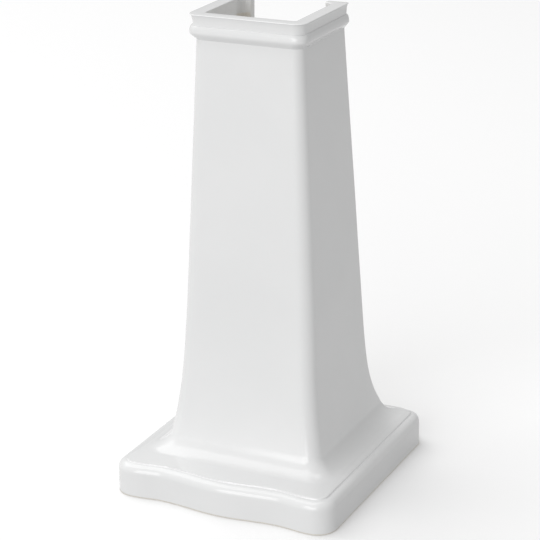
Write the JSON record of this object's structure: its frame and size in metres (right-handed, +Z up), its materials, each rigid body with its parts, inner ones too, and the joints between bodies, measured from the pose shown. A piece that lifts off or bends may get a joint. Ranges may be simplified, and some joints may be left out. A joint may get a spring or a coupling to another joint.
{
  "type": "washbasin pedestal leg",
  "caption": "Hollow glazed china leg for a washbasin: square tapering shaft, moulded top and wide plinth, open at the back, with capped floor bolts.",
  "frame": {"origin": "centre of the footprint, on the floor", "axes": "+Z up towards the basin seat, -Y towards the front, +X to the right seen from the front"},
  "size_m": [0.349, 0.364, 0.7],
  "materials": {
    "glazed_china": "glossy white glaze, bare clay under the foot",
    "nylon": "natural nylon",
    "white_plastic": "moulded, semi-gloss",
    "zinc_steel": "bright zinc plate"
  },
  "bodies": {
    "pedestal": {"pedestal_body": "glazed_china", "sleeve_left": "nylon", "sleeve_right": "nylon", "cap_base_left": "white_plastic", "cap_base_right": "white_plastic", "washer_left": "zinc_steel", "washer_right": "zinc_steel", "nut_left": "zinc_steel", "nut_right": "zinc_steel"},
    "left_cap": {"cap_left": "white_plastic"},
    "right_cap": {"cap_right": "white_plastic"}
  },
  "joints": [
    {"name": "left_cap_pull", "type": "slide", "parent": "pedestal", "child": "left_cap", "axis": [0, 0, 1], "range_m": [0, 0.016]},
    {"name": "right_cap_pull", "type": "slide", "parent": "pedestal", "child": "right_cap", "axis": [0, 0, 1], "range_m": [0, 0.016]}
  ]
}
